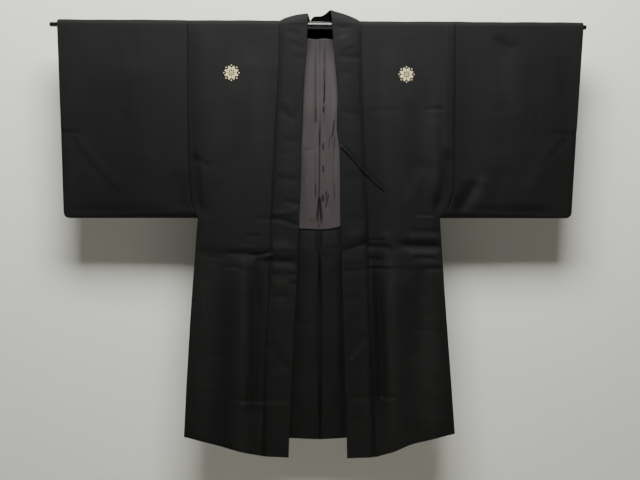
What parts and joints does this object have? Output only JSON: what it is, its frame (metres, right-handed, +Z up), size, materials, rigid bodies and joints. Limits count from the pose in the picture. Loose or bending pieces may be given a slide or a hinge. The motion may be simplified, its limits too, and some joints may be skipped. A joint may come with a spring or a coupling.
{
  "type": "haori jacket on a hanging rod",
  "caption": "Formal black haori jacket with straight sleeves, long folded collar and mauve upper lining, hung flat on a straight rod.",
  "frame": {"origin": "on the rod's axis, at the jacket's centre line, where the rod holds the jacket up", "axes": "+X along the rod to the right of someone who looks at the front, -Y out of the front, +Z up"},
  "size_m": [1.244, 0.0492, 1.0377],
  "materials": {
    "silk_black": "soft low sheen silk, plain weave",
    "lining_mauve": "thin satin lining",
    "cord_black": "flat braided silk",
    "crest_cream": "matt dyed crest",
    "rod_paint": "gloss black paint"
  },
  "bodies": {
    "root": {"body_left": "silk_black", "body_right": "silk_black", "sleeve_left": "silk_black", "sleeve_right": "silk_black", "gusset_left": "silk_black", "gusset_right": "silk_black", "collar": "silk_black", "lining_left": "lining_mauve", "lining_right": "lining_mauve", "facing_left": "silk_black", "facing_right": "silk_black", "tie_cord": "cord_black", "rod": "rod_paint"}
  },
  "joints": []
}
